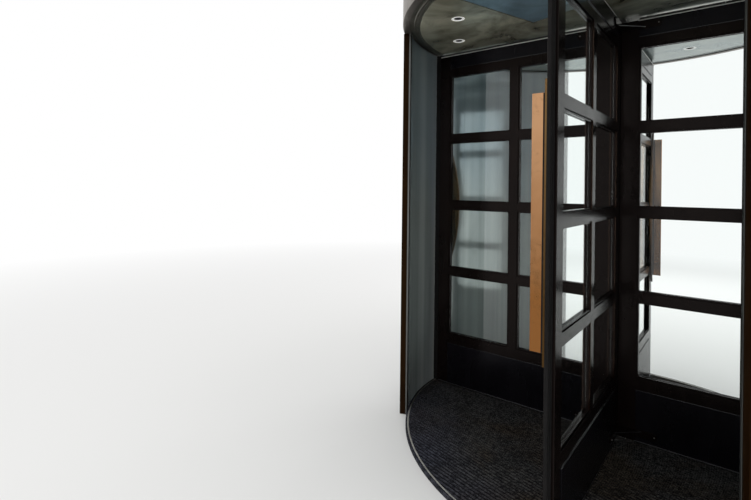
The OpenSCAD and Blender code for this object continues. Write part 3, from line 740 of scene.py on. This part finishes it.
for degrees in leaf["degrees"]:
    for end, z0, down in (("foot", sweep["footTop"], -1), ("head", sweep["headFoot"], 1)):
        reach = abs(sweep[end] - z0)
        clip = sorted((z0 - down * sweep["clipLap"], z0 - down * sweep["clipHigh"]))
        for side in (-1, 1):
            flank = sorted((side * sweep["clipIn"], side * sweep["clipOut"]))
            verts = block(clips[end], (sweep["low"], flank[0], clip[0]), (sweep["high"], flank[1], clip[1]))
            bmesh.ops.transform(clips[end], matrix=turned(degrees), verts=verts)
        for k in range(steps):
            for row in (-1, 0, 1):
                x = sweep["low"] + (k + 0.5 + sweep["scatter"] * dice.uniform(-1, 1)) * sweep["pitch"]
                length = reach * dice.uniform(*sweep["lengths"])
                if end == "foot":
                    out = row * sweep["splay"] * dice.uniform(*sweep["splays"])
                else:
                    out = row * sweep["headSplay"]
                lean = Vector((sweep["lean"] * dice.uniform(-1, 1), out, down * length))
                place = facing((x, row * sweep["row"], z0), lean)
                stamp(tufts[end], tuftMesh, turned(degrees) @ place @ Matrix.Diagonal((1, 1, lean.length, 1)))
for clip in clips.values():
    ease(clip, sweep["clipSoft"], 3)
# the same clips: pale at the head, partly a painted highlight, and dark at the foot as painted shade
addPiece(clips["head"], "headClips", "litClips", "rotor")
addPiece(clips["foot"], "footClips", "shadedClips", "rotor")
addPiece(tufts["head"], "headTufts", "sweep", "rotor", ["brush_sweeps"])
addPiece(tufts["foot"], "footTufts", "sweep", "rotor")
print("sweeps")


# Shaft and corner brackets

bracket = {"soft": 0.0009, "segments": 3, "reach": 0.191, "face": 0.0298, "footMid": 0.081,
           "headMid": 2.199, "screwWide": 0.85, "screwHigh": 2.6, "sawnArea": 0.0003, "tipArea": 0.0001}
addPiece(cadCopy("centre_shaft", bracket["soft"]), "centreShaft", "leaf", "rotor", ["centre_shaft"])


def isSawn(face):  # the web's slanted front and the tips of the legs
    off = (math.degrees(math.atan2(face.normal.y, face.normal.x)) - leaf["degrees"][0]) % 90
    area = face.calc_area()
    slanted = abs(off - 45) < 3 and area > bracket["sawnArea"]
    tip = min(off, 90 - off) < 3 and bracket["tipArea"] < area < bracket["sawnArea"]
    return abs(face.normal.z) < 0.1 and (slanted or tip)


# the head brackets' sawn faces get a light finish, a painted highlight; the foot brackets' sawn faces get the
# darker edge finish
for name, node, mid, cut in (("headBrackets", "top_brackets", bracket["headMid"], "sawnHighlight"),
                             ("footBrackets", "bottom_brackets", bracket["footMid"], "edge")):
    bm = cadCopy(node, bracket["soft"], bracket["segments"])
    paintFaces(bm, isSawn)
    addPiece(bm, name, "leaf", "rotor", [node], second=cut)
    bm = bmesh.new()
    tall = Matrix.Diagonal((bracket["screwWide"], bracket["screwWide"], bracket["screwHigh"], 1))
    for degrees in leaf["degrees"]:
        reach, face = bracket["reach"], bracket["face"]
        stamp(bm, screwMesh, turned(degrees) @ facing((reach, face, mid), (0, 1, 0)) @ tall)
        stamp(bm, screwMesh, turned(degrees) @ facing((face, reach, mid), (1, 0, 0)) @ tall)
    addPiece(bm, name.replace("Brackets", "BracketScrews"), "screw", "rotor")
print("shaft and brackets")


# Stage

studio = {"floor": (0.80, 0.80, 0.79), "wide": 60, "under": 0.0005, "ambient": 0.85, "backdrop": 1.0,
          "fadeFrom": 2.2, "fadeTo": 9.0}


def studioFloorPaint(name):  # pale paint that takes the shadow and fades into the white backdrop far off
    f = Finish(name)
    away = f.node("ShaderNodeVectorMath", {"operation": "LENGTH"}, {0: f.place}, out="Value")
    white = f.path("Camera", "Glossy", "Transmission") * f.mask(away, studio["fadeFrom"], studio["fadeTo"])
    paint = f.node("ShaderNodeBsdfDiffuse", values={"Color": (*studio["floor"], 1)})
    glow = f.node("ShaderNodeEmission", values={"Strength": studio["backdrop"]})
    return f.show(f.blend(white, paint, glow))


bpy.ops.mesh.primitive_plane_add(size=studio["wide"], location=(0, 0, -studio["under"]))
ground = bpy.context.object
ground.name = "studioFloor"
ground.data.materials.append(studioFloorPaint("studioFloorPaint"))

world = bpy.data.worlds.new("studio")  # white where it is seen or mirrored, a little dimmer as a light
bpy.context.scene.world = world
world.use_nodes = True
tree = world.node_tree
tree.nodes.clear()
rays = tree.nodes.new("ShaderNodeLightPath")
seen = rays.outputs["Is Camera Ray"]
for kind in ("Is Transmission Ray", "Is Glossy Ray"):
    either = tree.nodes.new("ShaderNodeMath")
    either.operation = "MAXIMUM"
    tree.links.new(seen, either.inputs[0])
    tree.links.new(rays.outputs[kind], either.inputs[1])
    seen = either.outputs[0]
strength = tree.nodes.new("ShaderNodeMapRange")
strength.inputs["To Min"].default_value = studio["ambient"]
strength.inputs["To Max"].default_value = studio["backdrop"]
tree.links.new(seen, strength.inputs["Value"])
sky = tree.nodes.new("ShaderNodeBackground")
sky.inputs["Color"].default_value = (1, 1, 1, 1)
tree.links.new(strength.outputs[0], sky.inputs["Strength"])
output = tree.nodes.new("ShaderNodeOutputWorld")
tree.links.new(sky.outputs[0], output.inputs["Surface"])

lamps = {"lobbySoft": ((2.6, -5.2, 3.4), (0, 0, 1.2), 3.2, 80),  # place, aim, size and power
         "streetSoft": ((-2.0, 5.4, 3.2), (0, 0, 1.2), 3.2, 90),
         "topSoft": ((0.5, -0.5, 6.5), (0, 0, 0), 5.0, 60)}
for name, (place, aim, size, power) in lamps.items():
    data = bpy.data.lights.new(name, "AREA")
    data.shape = "SQUARE"
    data.size = size
    data.energy = power
    lamp = bpy.data.objects.new(name, data)
    lamp.location = place
    lamp.visible_camera = False
    lamp.visible_transmission = False
    lamp.visible_glossy = False
    lamp.rotation_euler = (Vector(aim) - Vector(place)).to_track_quat("-Z", "Y").to_euler()
    bpy.context.scene.collection.objects.link(lamp)

view = {"place": (1.3480, -2.5424, 1.3461), "degrees": 56.707, "roll": 0.646, "lens": 22.404,
        "sensor": 36, "shiftX": 0.0211, "shiftY": -0.0850, "nearest": 0.05}
data = bpy.data.cameras.new("photoView")
data.sensor_width = view["sensor"]
data.lens = view["lens"]
data.shift_x = view["shiftX"]
data.shift_y = view["shiftY"]
data.clip_start = view["nearest"]
camera = bpy.data.objects.new("photoView", data)
bpy.context.scene.collection.objects.link(camera)
upright = turned(view["degrees"]) @ Matrix.Rotation(math.radians(90), 4, "X")
camera.matrix_world = Matrix.Translation(view["place"]) @ upright @ turned(view["roll"])
bpy.context.scene.camera = camera
bpy.context.scene.view_settings.view_transform = "Standard"

print("stage and camera")
